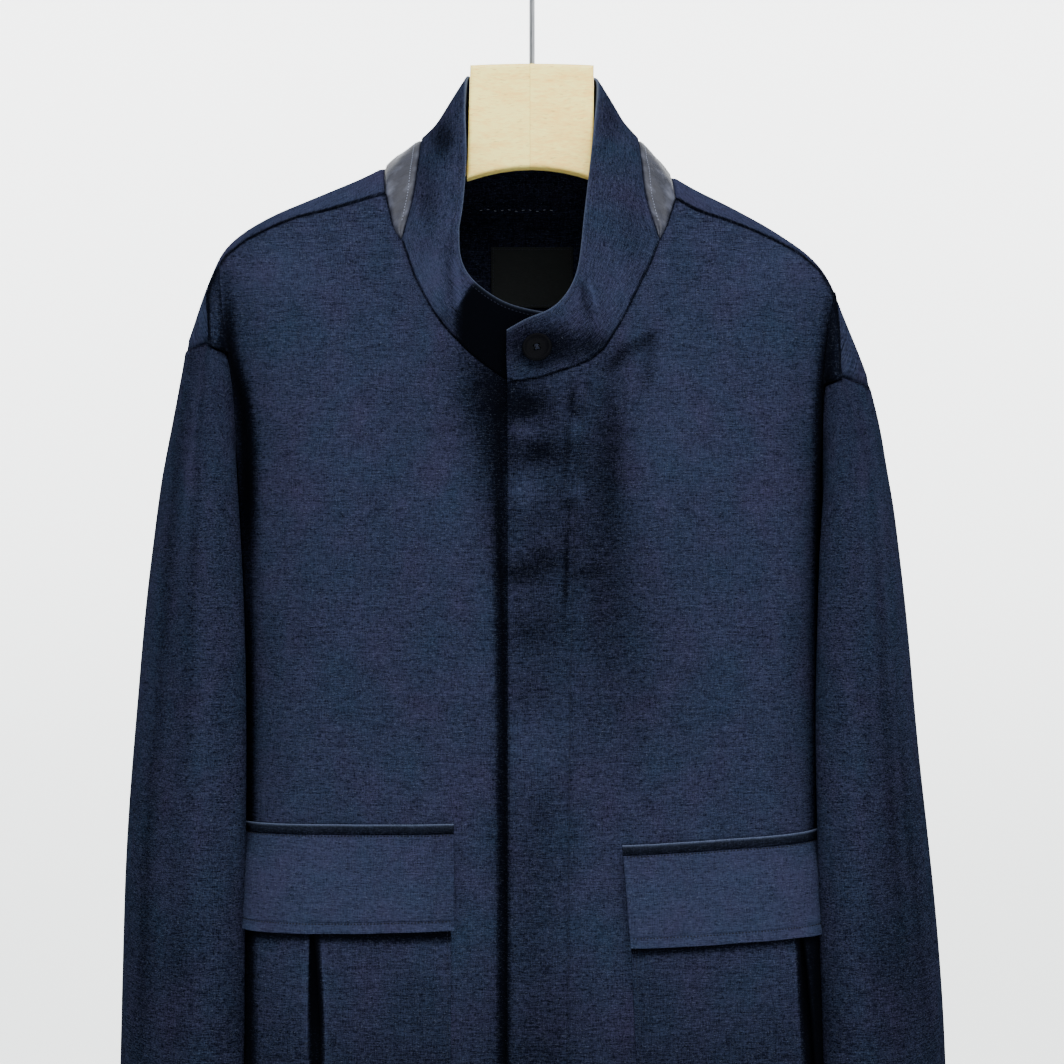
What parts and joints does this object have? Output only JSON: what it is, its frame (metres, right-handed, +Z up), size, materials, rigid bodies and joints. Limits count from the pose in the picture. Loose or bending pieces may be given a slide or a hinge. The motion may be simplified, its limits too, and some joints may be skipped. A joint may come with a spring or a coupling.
{
  "type": "jacket on a hanger",
  "caption": "Dark blue linen jacket with stand collar, leather neck gussets, concealed front and flap patch pockets, hung on a wooden neck-block hanger with a steel hook",
  "frame": {"origin": "inside of the hook's crown, where a rail carries it", "axes": "+Z up, the jacket's front faces -Y, the wearer's right sleeve is at -X"},
  "size_m": [0.6156, 0.2249, 0.9592],
  "materials": {
    "linen": "plain-weave linen, matt",
    "leather": "smooth, semi-gloss",
    "button": "satin",
    "label": "matt woven",
    "wood": "pale, satin lacquer",
    "steel": "polished wire"
  },
  "bodies": {
    "root": {"back": "linen", "collar": "linen", "collar_button": "button", "flap_left": "linen", "flap_right": "linen", "front_left": "linen", "front_right": "linen", "gusset_left": "leather", "gusset_right": "leather", "hanger_arm_left": "wood", "hanger_arm_right": "wood", "hanger_hook": "steel", "hanger_neck_block": "wood", "neck_label": "label", "pocket_left": "linen", "pocket_right": "linen", "sleeve_left": "linen", "sleeve_right": "linen"}
  },
  "joints": []
}
